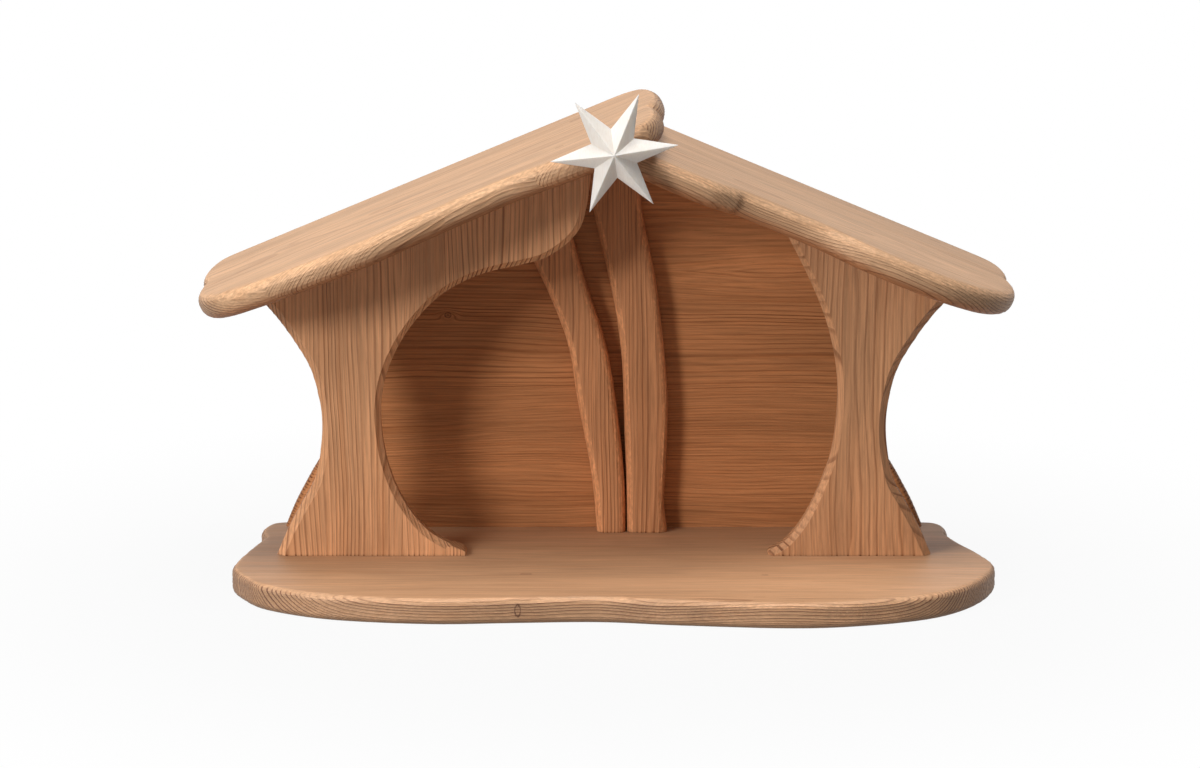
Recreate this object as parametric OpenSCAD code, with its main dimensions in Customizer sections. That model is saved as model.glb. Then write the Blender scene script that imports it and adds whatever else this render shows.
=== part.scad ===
// Small wooden nativity stable: a shaped base, two curved front panels, a back wall in two
// boards with a pair of leaning posts before it, two lapped roof boards and a turning star.
// +X is right, +Y is the back, +Z is up. The origin is on the underside of the base, in the
// middle of its depth and under the ridge.

/* [Base] */
// How far the base reaches out past the house's feet on each side
base_side = 23.5; // [15:0.5:40]
// How far the base reaches out before the front panels
base_apron = 89; // [60:1:120]
// Thickness of the base board
base_t = 12; // [9:0.5:18]
// How far the middle of the base lies to the right of the ridge
base_shift = 4.5; // [0:0.5:10]

/* [House] */
// Width of the front panels and of the back wall at their feet
house_w = 303; // [240:1:370]
// Height from the base to the underside of the roof at the ridge
house_h = 188.5; // [155:0.5:230]
// Slope of the roof
pitch = 22.6; // [18:0.1:28]
// Thickness of the front panels
panel_t = 12; // [9:0.5:16]
// Thickness of the back wall
wall_t = 12; // [9:0.5:16]
// Thickness of the two inner posts
post_t = 12; // [9:0.5:16]
// Distance from the front face of the panels to the back face of the wall
house_d = 70; // [56:1:85]
// How far the back wall stands in from the back edge of the base
wall_set_in = 1; // [0.5:0.5:5]

/* [Roof] */
// Thickness of the roof boards
roof_t = 12; // [10:0.5:18]
// How far the left roof board runs down past the house's feet, along its slope
left_eave = 40.4; // [30:0.1:60]
// How far the right roof board runs down past the house's feet, along its slope
right_eave = 43.4; // [30:0.1:60]
// How far the left roof board runs on past the ridge
ridge_lap = 27; // [22:1:40]
// How far the roof hangs over behind the back wall
back_overhang = 12; // [5:1:20]
// How far the left roof board hangs over before the front panels
left_overhang = 54.5; // [35:0.5:70]
// How far the right roof board hangs over before the front panels
right_overhang = 40.5; // [25:0.5:60]

/* [Star] */
// Radius of the star at its points
star_r = 28.5; // [20:0.5:34]
// Radius of the star between its points
star_inner_r = 10.9; // [7:0.1:14]
// Height of the star's middle over its flat back
star_t = 8; // [6:0.5:12]
// Thickness of the star at its rim
star_rim_t = 1.2; // [0.6:0.1:2]
// Number of points of the star
star_points = 6; // [5:1:8]
// How far the star is turned on its pin
star_turn = 22.5; // [0:0.5:60]
// Radius of the pin that holds the star
pin_r = 1.5; // [1:0.1:2]
// Depth of the pin in the roof
pin_in_roof = 16; // [10:1:24]
// Depth of the pin in the star
pin_in_star = 4.5; // [3:0.5:5]
// How far the star's middle lies to the right of the ridge
star_x = 4.5; // [-10:0.5:12]

/* [Joinery] */
// Radius of the roof dowels
dowel_r = 3; // [2:0.5:4]
// Depth of a roof dowel in the roof board
dowel_in_roof = 8; // [5:0.5:8.5]
// Depth of a roof dowel in the panel or wall under it
dowel_in_panel = 12; // [8:0.5:16]
// Radius of the ridge dowels
ridge_dowel_r = 2; // [1.5:0.25:2.5]
// Depth of a ridge dowel in the right roof board
ridge_dowel_depth = 6; // [4:0.5:7]
// Radius of a screw's shank
screw_r = 1.75; // [1.25:0.25:2.25]
// Radius of a screw's head
screw_head_r = 3.5; // [3:0.25:4.5]
// Depth of a base screw in the board that it holds
base_screw_bite = 20; // [12:1:26]
// Depth of a post screw in the post
post_screw_bite = 8; // [5:0.5:8.5]
// Glue line between two boards
glue_gap = 0.05; // [0.02:0.01:0.2]
// Clearance round a screw or a dowel
dowel_fit = 0.05; // [0.02:0.01:0.1]
// Running clearance round the star's pin
pin_fit = 0.05; // [0.02:0.01:0.1]
// Gap between the star's back and the roof edge behind it
star_gap = 0.6; // [0.4:0.1:1.5]

/* [Hidden] */
$fn = 48;

// Steps that a smooth outline takes from one of its points to the next
curve_steps = 6;
// How far a cut runs on past what it cuts
overrun = 1;

half_w = house_w / 2;
base_w = house_w + 2 * base_side;
base_d = base_apron + house_d + wall_set_in;
base_back = base_d / 2;
base_top = base_t + glue_gap;
wall_back = base_back - wall_set_in;
wall_front = wall_back - wall_t;
post_front = wall_front - glue_gap - post_t;
panel_front = wall_back - house_d;
panel_mid = panel_front + panel_t / 2;
wall_mid = wall_front + wall_t / 2;
post_mid = post_front + post_t / 2;
roof_back = wall_back + back_overhang;
// The foremost line of the left roof board, which the star stands before
roof_front = panel_front - left_overhang;
star_back = roof_front - star_gap;
pin_back = roof_front + pin_in_roof;
// Height of the line where the two top faces of the roof would meet
ridge_h = base_t + house_h + roof_t / cos(pitch);
// Lengths of the roof boards from the ridge, and depths from back to front
left_run = half_w / cos(pitch) + left_eave;
right_run = half_w / cos(pitch) + right_eave;
left_roof_l = ridge_lap + left_run;
left_roof_d = back_overhang + house_d + left_overhang;
right_roof_d = back_overhang + house_d + right_overhang;
base_screw_l = base_t + base_screw_bite;
post_screw_l = wall_t + post_screw_bite;

// Outline of the base, in shares of its width and depth from its middle
base_left_lobe_shares = [[-0.446, 0.5], [-0.466, 0.48], [-0.476, 0.42], [-0.4765, 0.362],
                         [-0.471, 0.3]];
base_front_shares = [[-0.471, 0.3], [-0.484, 0.175], [-0.4955, 0.045], [-0.5, -0.07],
                     [-0.486, -0.172], [-0.45, -0.294], [-0.364, -0.403], [-0.236, -0.453],
                     [-0.127, -0.441], [-0.019, -0.431], [0.087, -0.469], [0.23, -0.5],
                     [0.33, -0.466], [0.416, -0.381], [0.473, -0.234], [0.5, -0.055],
                     [0.489, 0.085], [0.464, 0.238], [0.451, 0.344]];
base_right_lobe_shares = [[0.451, 0.344], [0.4525, 0.4], [0.449, 0.456], [0.437, 0.49],
                          [0.417, 0.5]];

// Waisted side that the panels and the back wall share: shares of half the house's width from
// the ridge line, and of the house's height from the base
side_shares = [[1, 0], [0.966, 0.064], [0.921, 0.132], [0.882, 0.19], [0.863, 0.264],
               [0.858, 0.333], [0.866, 0.392], [0.891, 0.466], [0.938, 0.533],
               [0.993, 0.595], [1.054, 0.65], [1.12, 0.71]];
// Inner side of the left panel, up along its round opening to the ridge, in the same shares
left_arch_shares = [[-0.42, 0], [-0.428, 0.013], [-0.475, 0.03], [-0.541, 0.064],
                    [-0.6, 0.122], [-0.64, 0.185], [-0.667, 0.26], [-0.6785, 0.349],
                    [-0.669, 0.426], [-0.634, 0.505], [-0.574, 0.582], [-0.485, 0.653],
                    [-0.37, 0.7], [-0.248, 0.7235], [-0.178, 0.74], [-0.112, 0.775],
                    [-0.069, 0.818], [-0.0495, 0.878], [-0.04, 0.94], [-0.033, 1.01]];
// Inner side of the right panel, in the same shares
right_arch_shares = [[0.5, 0], [0.508, 0.013], [0.555, 0.037], [0.607, 0.09], [0.65, 0.161],
                     [0.69, 0.254], [0.708, 0.36], [0.704, 0.469], [0.675, 0.577],
                     [0.622, 0.685], [0.5445, 0.808], [0.5, 0.87]];
// Sides of the two posts, bottom to top, in the same shares
left_post_left_shares = [[-0.023, 0], [-0.04, 0.148], [-0.0825, 0.333], [-0.109, 0.466],
                         [-0.152, 0.569], [-0.216, 0.684], [-0.275, 0.784], [-0.36, 0.93]];
left_post_right_shares = [[0.068, 0], [0.066, 0.111], [0.05, 0.254], [0.022, 0.416],
                          [-0.0086, 0.519], [-0.0495, 0.619], [-0.092, 0.741],
                          [-0.116, 0.836], [-0.16, 1.02]];
right_post_left_shares = [[0.0715, 0], [0.0695, 0.111], [0.0635, 0.254], [0.057, 0.413],
                          [0.0436, 0.519], [0.022, 0.619], [-0.0066, 0.72],
                          [-0.03, 0.802], [-0.059, 0.915], [-0.086, 1.02]];
right_post_right_shares = [[0.198, 0], [0.188, 0.085], [0.195, 0.175], [0.1995, 0.307],
                           [0.1935, 0.413], [0.18, 0.519], [0.165, 0.619], [0.142, 0.72],
                           [0.121, 0.802], [0.112, 0.889], [0.105, 1.02]];
// Where the two boards of the back wall meet, behind the right post
seam_share = 0.099;

// Outline of the left roof board: shares of its length from its upper end, and of its depth
// from its back edge
left_eave_back_shares = [[0.94, 0], [0.975, 0.03], [0.994, 0.12], [1, 0.23],
                         [0.996, 0.33], [0.984, 0.4]];
left_front_shares = [[0.984, 0.4], [0.992, 0.5], [0.99, 0.64], [0.967, 0.777],
                     [0.927, 0.865], [0.88, 0.91], [0.828, 0.945], [0.757, 0.975],
                     [0.677, 0.994], [0.604, 1], [0.524, 0.964], [0.448, 0.938],
                     [0.384, 0.923], [0.323, 0.916], [0.234, 0.96], [0.155, 0.989],
                     [0.091, 0.989], [0.043, 0.963], [0.016, 0.894], [0.005, 0.784],
                     [0.006, 0.667], [0.0125, 0.571]];
left_ridge_back_shares = [[0.0125, 0.571], [0.002, 0.505], [0, 0.352], [0.008, 0.198],
                          [0.025, 0.08], [0.06, 0.015], [0.1, 0]];
// Outline of the right roof board: shares of its run from the ridge, and of its depth
right_ridge_shares = [[-0.1, 0], [-0.1, 0.9]];
right_front_shares = [[-0.1, 0.9], [0.03, 0.94], [0.105, 0.971], [0.176, 1], [0.258, 0.996],
                      [0.317, 0.947], [0.345, 0.914], [0.429, 0.91], [0.517, 0.922],
                      [0.593, 0.971], [0.656, 0.996], [0.725, 1], [0.81, 0.98],
                      [0.868, 0.931], [0.92, 0.857], [0.965, 0.735], [0.991, 0.596],
                      [1, 0.45], [0.987, 0.3]];
right_eave_back_shares = [[0.987, 0.3], [0.996, 0.21], [0.991, 0.11], [0.97, 0.03],
                          [0.93, 0]];

// Places of the dowels along the slope, in shares of the board's run from the ridge
left_front_dowel_shares = [0.15, 0.42, 0.68];
right_front_dowel_shares = [0.58, 0.755];
left_back_dowel_shares = [0.24, 0.66];
right_back_dowel_shares = [0.32, 0.68];
// Places of the ridge dowels, in shares of the right roof board's depth
ridge_dowel_shares = [0.19, 0.48, 0.77];
// Place of the ridge dowels across the bevel, in shares of its width from the thin edge
bevel_place_share = 0.62;
// Places of the screws in the base, in shares of half the house's width
panel_screw_shares = [-0.89, -0.7, 0.73, 0.89];
wall_screw_shares = [-0.73, -0.33, 0.4, 0.76];
post_foot_shares = [0.021, 0.131];
// Places of the screws in the posts, in shares of half the house's width and of its height
post_screw_shares = [[-0.01, 0.25], [-0.145, 0.68], [0.131, 0.25], [0.072, 0.68]];
// Slot of a screw's head, and the length of its head and tip, in shares of the head's radius
slot_w_share = 0.28;
slot_l_share = 1.1;
head_l_share = 0.72;
tip_l_share = 1.2;
// Radius of a screw's tip, in shares of its shank's radius
tip_r_share = 0.25;
// Height of the pin and of the star's middle, in shares of the roof's thickness from its top
pin_height_share = 0.52;
// Chamfer at a dowel's ends, in shares of its radius
chamfer_share = 0.2;

// A point between b and c on the smooth curve through a, b, c and d
function smooth_point(a, b, c, d, t) =
    0.5 * (2 * b + (c - a) * t + (2 * a - 5 * b + 4 * c - d) * t * t
           + (3 * b - a - 3 * c + d) * t * t * t);

// A smooth open line through the points, with a corner left at each end
function stretch(points) =
    let (n = len(points))
    concat([for (i = [0 : n - 2], s = [0 : curve_steps - 1])
                smooth_point(points[max(i - 1, 0)], points[i], points[i + 1],
                             points[min(i + 2, n - 1)], s / curve_steps)],
           [points[n - 1]]);

// Smooth stretches joined into one outline, where a point that two of them share comes once
function outline(stretches) =
    [for (k = [0 : len(stretches) - 1])
        let (points = stretch(stretches[k]),
             next = stretches[(k + 1) % len(stretches)],
             last = len(points) - 1,
             shared = points[last] == next[0] ? 1 : 0)
        for (i = [0 : last - shared]) points[i]];

function reversed(points) = [for (i = [len(points) - 1 : -1 : 0]) points[i]];
function scaled(shares, w, h) = [for (p = shares) [p[0] * w, p[1] * h]];
function mirrored(points) = [for (p = points) [-p[0], p[1]]];
// A point of the house's front view from its shares
function house_points(shares) =
    [for (p = scaled(shares, half_w, house_h)) [p[0], p[1] + base_top]];

// Front view of everything under the roof
module under_roof() {
    top = base_t + house_h - glue_gap / cos(pitch);
    fall = house_w * tan(pitch);
    polygon([[-house_w, top - fall], [0, top], [house_w, top - fall],
             [house_w, -overrun], [-house_w, -overrun]]);
}

// A board cut from a front view, with its front face at front and cut off under the roof
module upright(front, thickness) {
    translate([0, front + thickness, 0])
        rotate([90, 0, 0])
            linear_extrude(thickness)
                intersection() {
                    children();
                    under_roof();
                }
}

// The frame of a roof slope: X runs down the slope from the ridge, Z stands out of its top face
module slope(side) {
    mirror([side < 0 ? 1 : 0, 0, 0])
        translate([0, 0, ridge_h])
            rotate([0, pitch, 0])
                children();
}

module screw_bore(length) {
    translate([0, 0, -overrun])
        cylinder(h = length + overrun, r = screw_r + dowel_fit);
    countersink(dowel_fit);
}

// The cone of a screw's head, opened by a clearance
module countersink(fit) {
    head_l = screw_head_r * head_l_share;
    cylinder(h = head_l, r1 = screw_head_r + fit, r2 = screw_r + fit);
}

// A wood screw along +Z, its flat head at zero
module screw(length) {
    head_l = screw_head_r * head_l_share;
    tip_l = screw_head_r * tip_l_share;
    slot_w = screw_head_r * slot_w_share;
    slot_l = screw_head_r * slot_l_share;
    difference() {
        union() {
            countersink(0);
            translate([0, 0, head_l])
                cylinder(h = length - head_l - tip_l, r = screw_r);
            translate([0, 0, length - tip_l])
                cylinder(h = tip_l, r1 = screw_r, r2 = screw_r * tip_r_share);
        }
        for (turn = [0, 90])
            rotate([0, 0, turn])
                translate([-slot_l / 2, -slot_w / 2, -overrun])
                    cube([slot_l, slot_w, head_l / 2 + overrun]);
    }
}

// A dowel along Z with chamfered ends, in the middle of its length at zero
module dowel(radius, length) {
    chamfer = radius * chamfer_share;
    translate([0, 0, -length / 2])
        cylinder(h = chamfer, r1 = radius - chamfer, r2 = radius);
    translate([0, 0, chamfer - length / 2])
        cylinder(h = length - 2 * chamfer, r = radius);
    translate([0, 0, length / 2 - chamfer])
        cylinder(h = chamfer, r1 = radius, r2 = radius - chamfer);
}

// Puts its child at each roof dowel of one slope and one row, where the roof meets the board
module roof_dowel_places(side, shares, y) {
    slope(side)
        for (share = shares)
            translate([share * (side < 0 ? left_run : right_run), y, -roof_t])
                children();
}

// The blind hole for one roof dowel, through the face between the two boards
module roof_dowel_bore() {
    length = dowel_in_roof + dowel_in_panel;
    translate([0, 0, -dowel_in_panel - dowel_fit])
        cylinder(h = length + 2 * dowel_fit, r = dowel_r + dowel_fit);
}

module roof_dowel() {
    translate([0, 0, (dowel_in_roof - dowel_in_panel) / 2])
        dowel(dowel_r, dowel_in_roof + dowel_in_panel);
}

// Puts its child at each ridge dowel, where the right board's bevel meets the left board
module ridge_dowel_places() {
    thin_edge = roof_t * tan(pitch);
    place = thin_edge - roof_t / sin(2 * pitch) * bevel_place_share;
    slope(-1)
        for (share = ridge_dowel_shares)
            translate([place, roof_back - share * right_roof_d, -roof_t])
                children();
}

module ridge_dowel_bore() {
    translate([0, 0, -ridge_dowel_depth - dowel_fit])
        cylinder(h = ridge_dowel_depth + dowel_in_roof + 2 * dowel_fit,
                 r = ridge_dowel_r + dowel_fit);
}

// Puts its child at each screw under the base
module base_screw_places() {
    for (share = panel_screw_shares)
        translate([share * half_w, panel_mid, 0])
            children();
    for (share = wall_screw_shares)
        translate([share * half_w, wall_mid, 0])
            children();
    for (share = post_foot_shares)
        translate([share * half_w, post_mid, 0])
            children();
}

// Puts its child at each screw in the back of the wall, pointing to the front
module post_screw_places() {
    for (share = post_screw_shares)
        translate([share[0] * half_w, wall_back, base_top + share[1] * house_h])
            rotate([90, 0, 0])
                children();
}

module base_board() {
    color("#b98a62")
        difference() {
            linear_extrude(base_t)
                translate([base_shift, 0])
                    polygon(outline([scaled(base_left_lobe_shares, base_w, base_d),
                                     scaled(base_front_shares, base_w, base_d),
                                     scaled(base_right_lobe_shares, base_w, base_d)]));
            base_screw_places()
                screw_bore(base_screw_l);
        }
}

module front_left_panel() {
    color("#a9754b")
        difference() {
            upright(panel_front, panel_t)
                polygon(outline([mirrored(house_points(side_shares)),
                                 reversed(house_points(left_arch_shares))]));
            roof_dowel_places(-1, left_front_dowel_shares, panel_mid)
                roof_dowel_bore();
            base_screw_places()
                screw_bore(base_screw_l);
        }
}

module front_right_panel() {
    color("#a9754b")
        difference() {
            upright(panel_front, panel_t)
                polygon(outline([house_points(side_shares),
                                 reversed(house_points(right_arch_shares))]));
            roof_dowel_places(1, right_front_dowel_shares, panel_mid)
                roof_dowel_bore();
            base_screw_places()
                screw_bore(base_screw_l);
        }
}

// One board of the back wall: the house's outline on one side of the seam
module wall_board(side) {
    seam = seam_share * half_w + side * glue_gap / 2;
    sides = house_points(side_shares);
    edge = side < 0 ? mirrored(sides) : sides;
    top = base_top + house_h;
    difference() {
        upright(wall_front, wall_t)
            polygon(concat(outline([edge]), [[side * house_w, top], [seam, top],
                                             [seam, base_top]]));
        roof_dowel_places(-1, left_back_dowel_shares, wall_mid)
            roof_dowel_bore();
        roof_dowel_places(1, right_back_dowel_shares, wall_mid)
            roof_dowel_bore();
        base_screw_places()
            screw_bore(base_screw_l);
        post_screw_places()
            screw_bore(post_screw_l);
    }
}

module back_wall_left() {
    color("#8f5c38") wall_board(-1);
}

module back_wall_right() {
    color("#8f5c38") wall_board(1);
}

// A post between its left and right side lines
module post(left_shares, right_shares) {
    difference() {
        upright(post_front, post_t)
            polygon(outline([house_points(left_shares),
                             reversed(house_points(right_shares))]));
        base_screw_places()
            screw_bore(base_screw_l);
        post_screw_places()
            screw_bore(post_screw_l);
    }
}

module left_post() {
    color("#a9754b") post(left_post_left_shares, left_post_right_shares);
}

module right_post() {
    color("#a9754b") post(right_post_left_shares, right_post_right_shares);
}

// A roof board in the frame of its slope, from its outline with the back edge at zero
module roof_board(points) {
    translate([0, roof_back, -roof_t])
        linear_extrude(roof_t)
            polygon([for (p = points) [p[0], -p[1]]]);
}

module star_pin_place() {
    translate([star_x, 0, ridge_h + star_x * tan(pitch) - pin_height_share * roof_t / cos(pitch)])
        children();
}

module roof_board_left() {
    points = outline([scaled(left_eave_back_shares, left_roof_l, left_roof_d),
                      scaled(left_front_shares, left_roof_l, left_roof_d),
                      scaled(left_ridge_back_shares, left_roof_l, left_roof_d)]);
    color("#cfa67c")
        difference() {
            slope(-1)
                roof_board([for (p = points) [p[0] - ridge_lap, p[1]]]);
            roof_dowel_places(-1, left_front_dowel_shares, panel_mid)
                roof_dowel_bore();
            roof_dowel_places(-1, left_back_dowel_shares, wall_mid)
                roof_dowel_bore();
            ridge_dowel_places()
                ridge_dowel_bore();
            star_pin_place()
                translate([0, pin_back + pin_fit, 0])
                    rotate([90, 0, 0])
                        cylinder(h = pin_in_roof + overrun, r = pin_r + pin_fit);
        }
}

module roof_board_right() {
    points = outline([scaled(right_ridge_shares, right_run, right_roof_d),
                      scaled(right_front_shares, right_run, right_roof_d),
                      scaled(right_eave_back_shares, right_run, right_roof_d)]);
    color("#cfa67c")
        difference() {
            slope(1)
                roof_board(points);
            slope(-1)
                translate([-right_run, roof_back - 2 * right_roof_d, -roof_t - glue_gap])
                    cube([2 * right_run, 3 * right_roof_d, right_run]);
            roof_dowel_places(1, right_front_dowel_shares, panel_mid)
                roof_dowel_bore();
            roof_dowel_places(1, right_back_dowel_shares, wall_mid)
                roof_dowel_bore();
            ridge_dowel_places()
                ridge_dowel_bore();
        }
}

// A pointed star lying on its flat back, its ridges running up to the middle
module star_body() {
    corners = 2 * star_points;
    rim = [for (i = [0 : corners - 1])
        let (r = i % 2 == 0 ? star_r : star_inner_r, a = 360 * i / corners)
        [r * cos(a), r * sin(a)]];
    points = concat([for (p = rim) [p[0], p[1], 0]],
                    [for (p = rim) [p[0], p[1], star_rim_t]],
                    [[0, 0, 0], [0, 0, star_t]]);
    floor_mid = 2 * corners;
    peak = floor_mid + 1;
    polyhedron(points, [for (i = [0 : corners - 1])
        let (j = (i + 1) % corners)
        each [[i, j, floor_mid], [j + corners, i + corners, peak],
              [j, i, i + corners], [j, i + corners, j + corners]]]);
}

module star() {
    color("#f0ebe2")
        star_pin_place()
            translate([0, star_back, 0])
                rotate([90, star_turn - 90, 0])
                    difference() {
                        star_body();
                        translate([0, 0, -overrun])
                            cylinder(h = pin_in_star + pin_fit + overrun, r = pin_r + pin_fit);
                    }
}

module star_pin() {
    color("silver")
        star_pin_place()
            translate([0, (pin_back + star_back - pin_in_star) / 2, 0])
                rotate([90, 0, 0])
                    dowel(pin_r, pin_back - star_back + pin_in_star);
}

module base_screws() {
    color("goldenrod")
        base_screw_places()
            screw(base_screw_l);
}

module post_screws() {
    color("goldenrod")
        post_screw_places()
            screw(post_screw_l);
}

module front_roof_dowels() {
    color("burlywood") {
        roof_dowel_places(-1, left_front_dowel_shares, panel_mid)
            roof_dowel();
        roof_dowel_places(1, right_front_dowel_shares, panel_mid)
            roof_dowel();
    }
}

module back_roof_dowels() {
    color("burlywood") {
        roof_dowel_places(-1, left_back_dowel_shares, wall_mid)
            roof_dowel();
        roof_dowel_places(1, right_back_dowel_shares, wall_mid)
            roof_dowel();
    }
}

module ridge_dowels() {
    color("burlywood")
        ridge_dowel_places()
            translate([0, 0, (dowel_in_roof - ridge_dowel_depth) / 2])
                dowel(ridge_dowel_r, dowel_in_roof + ridge_dowel_depth);
}

base_board();
front_left_panel();
front_right_panel();
back_wall_left();
back_wall_right();
left_post();
right_post();
roof_board_left();
roof_board_right();
star();
star_pin();
base_screws();
post_screws();
front_roof_dowels();
back_roof_dowels();
ridge_dowels();
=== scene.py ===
import functools
import math
import random

import bmesh
import bpy
import numpy as np
from bpy.props import FloatProperty, FloatVectorProperty, PointerProperty
from bpy.types import Operator, Panel, PropertyGroup
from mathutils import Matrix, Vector


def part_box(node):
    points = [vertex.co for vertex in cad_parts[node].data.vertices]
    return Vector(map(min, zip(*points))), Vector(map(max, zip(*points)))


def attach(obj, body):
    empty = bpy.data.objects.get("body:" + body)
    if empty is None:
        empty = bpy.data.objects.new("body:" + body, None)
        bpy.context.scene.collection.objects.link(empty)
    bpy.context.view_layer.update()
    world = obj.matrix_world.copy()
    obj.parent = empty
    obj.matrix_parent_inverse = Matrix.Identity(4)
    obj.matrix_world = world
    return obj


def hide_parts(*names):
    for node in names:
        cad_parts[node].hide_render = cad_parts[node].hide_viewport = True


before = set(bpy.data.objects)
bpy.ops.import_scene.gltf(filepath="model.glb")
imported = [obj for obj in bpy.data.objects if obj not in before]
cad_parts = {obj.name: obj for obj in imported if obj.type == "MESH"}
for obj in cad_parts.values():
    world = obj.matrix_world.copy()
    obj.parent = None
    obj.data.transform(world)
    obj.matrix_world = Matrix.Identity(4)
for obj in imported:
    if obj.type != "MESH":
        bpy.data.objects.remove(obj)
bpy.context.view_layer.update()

bl_info = {
    "name": "Nativity Stable Finish",
    "version": (1, 0, 0),
    "blender": (4, 5, 0),
    "location": "3D View > Sidebar > Stable",
    "description": "Finishes the boards, star and fittings of a wooden nativity stable",
    "category": "Object",
}

# Each lamp's name, degrees to the right of the front, degrees above the level, and width
LAMPS = (("key", -41, 17, 0.45), ("side", -64, 31, 0.6), ("fill", 80, 35, 0.6), ("top", 0, 82, 1.0))
LAMP_AIM = Vector((0, 0, 0.1))
LAMP_AWAY = 1.8
FLOOR_HALF = 8
# Small dark flecks on the roof: place, half width, half height and darkness
ROOF_FLECKS = (((-0.0135, 0.0629, 0.2079), 0.0024, 0.0018, 0.6),
               ((-0.0203, -0.0035, 0.205), 0.0018, 0.0016, 0.45),
               ((0.1561, 0.0757, 0.1485), 0.0024, 0.0016, 0.4))
# Between these distances the floor begins to glow to the eye, and beyond them it glows in full
FLOOR_FADE = (0.16, 0.42)
FLOOR_GLOW = 0.94
# Width of the picture in pixels
FRAME_W = 1200

X = Vector((1, 0, 0))
Y = Vector((0, 1, 0))
Z = Vector((0, 0, 1))

# Directions closer than this to a board's face normal count as that face, and sides may lean
# from square to it by no more than LEAN
FLAT = 0.999
LEAN = 0.05
# Corners of the frame's loose triangles that lie this close are one corner
WELD = 1e-6
# A cut leaves corners alone that lie this close to it
SNAP = 4e-5
# Edges sharper than this keep their crease under smooth shading
CREASE = math.radians(32)
# Faces of a board that lie within this angle of each other become one
WHOLE = math.radians(0.3)
# A run of edges shorter than this is the rim of a bore
SHORTEST_RIM = 0.06
ROUND_STEPS = 5
# Front panels: rims further from the middle than this belong to the waisted outer sides
WAIST_FROM = 0.115
# Posts: share of the front edges' rounding that the back edges have
POST_BACK_SHARE = 0.25
# Star: edges longer than this and sharper than this are softened
RIDGE_FROM = 0.003
RIDGE_ANGLE = math.radians(8)

# Spacing of a board's mesh, roughly: along the grain, across it and through the board
BASE_STEPS = (0.004, 0.0009, 0.00036)
PANEL_STEPS = (0.004, 0.00042, 0.0005)
WALL_STEPS = (0.004, 0.00048, 0.0006)
POST_STEPS = (0.004, 0.0004, 0.0005)
ROOF_STEPS = (0.004, 0.0007, 0.00034)
# Lines on a board's edge, against 1 for full late wood
EDGE_CONTRAST = 0.7
BASE_EDGE_CONTRAST = 1.4
ROOF_EDGE_CONTRAST = 0.62
# Depth of the brushed edges of the boards that don't take it from the settings
EDGE_RELIEF = 0.00013

# Heights of the waves in which the grain strays, with their lengths along and across it, how
# many there are of each, and the shares by which those lengths vary
WANDER = ((0.0007, 0.26, 0.11), (0.00022, 0.13, 0.06), (0.00007, 0.06, 0.03),
          (0.00002, 0.02, 0.012))
WANDER_COUNT = 3
WANDER_SPREAD = (0.7, 1.4)
# Lengths over which a tree's growth changes, the shares by which those lengths vary, and the
# share by which its rings grow wider
GROWTH_WAVES = (0.0065, 0.013, 0.029, 0.06)
GROWTH_SPREAD = (0.8, 1.25)
UNEVEN_GROWTH = 0.2

# A knot pushes the rings out by this many, and reaches this many half widths along the grain,
# this many half heights round it, and this far along its own direction
KNOT_RINGS = 1.8
KNOT_REACH = 2.4
KNOT_GIRTH = 1.5
KNOT_DEPTH = 0.007
# Cuts each side of a knot's middle, and how many half widths away the last one lies
KNOT_CUTS = 8
KNOT_CUTS_REACH = 4

# Share of a year's growth where the dark late wood begins, is darkest, and is nearly over, and
# the share in which it fades before that
LATE_START = 0.56
LATE_FULL = 0.86
LATE_END = 0.985
LATE_FADE = 0.05

# A board's own outward direction has this share of a point's normal at the ends of a range:
# rounded upper rims begin and end, the face turns into the edge, and the relief turns into the
# edge's relief
# The rounded rims found here carry a painted highlight in the material
RIM_BEGINS = (0.12, 0.4)
RIM_ENDS = (0.9, 0.99)
FACE_LINES = (0.55, 0.99)
FACE_RELIEF = (0.8, 0.99)
# The same for the grain's direction where a rounded rim turns into end grain
RIM_TURNS = (0.3, 0.7)
# Glue lines lie this many times deeper than the brushed relief
JOINT_DEPTH = 1.2


class Stave:
    """One strip of a glued-up board, from a share of the board's width on.

    Across and depth lead from the board's middle to its tree's. Ring is a year's growth, tone
    and contrast are how pale and how clear the rings are, and slope is how fast they dive.
    """

    def __init__(self, share, across, depth, ring, tone=0.5, contrast=0.5, slope=0):
        self.share = share
        self.across = across
        self.depth = depth
        self.ring = ring
        self.tone = tone
        self.contrast = contrast
        self.slope = slope


class Knot:
    """A small branch through a board: a point on it, its direction, half width and half height.

    Dark is how strongly its oval shows, heart is the same for the oval's middle, and bends says
    whether the grain goes round it.
    """

    def __init__(self, place, axis, half_w, half_h, dark=1.0, bends=True, heart=0.8):
        self.place = Vector(place)
        self.axis = axis
        self.half_w = half_w
        self.half_h = half_h
        self.dark = dark
        self.bends = bends
        self.heart = heart


class Board:
    """One board of the stable, with the run of its grain and the rings of its staves."""

    def __init__(self, node, along, face, staves, rounding, relief, steps, seed, knots=(),
                 edge_contrast=EDGE_CONTRAST, edge_relief=EDGE_RELIEF, bevelled=False):
        self.node = node
        self.along = along.normalized()
        self.face = face.normalized()
        self.across = self.face.cross(self.along)
        self.staves = staves
        self.rounding = rounding
        self.relief = relief
        self.steps = steps
        self.seed = seed
        self.knots = knots
        self.edge_contrast = edge_contrast
        self.edge_relief = edge_relief
        self.bevelled = bevelled
        low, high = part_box(node)
        self.low, self.high = low, high
        self.middle = (low + high) / 2

    def keeps(self, side):
        """Whether this side face meets another board, so that its edges stay square."""
        return any(side.normal.dot(normal) > FLAT for normal in self.joints())

    def joints(self):
        """Outward normals of the faces that meet another board."""
        normals = [-Z, slope_normal(-1), slope_normal(1)]
        if self.node == "back_wall_left":
            normals.append(X)
        if self.node == "back_wall_right":
            normals.append(-X)
        return normals if self.face != Z else []


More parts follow.
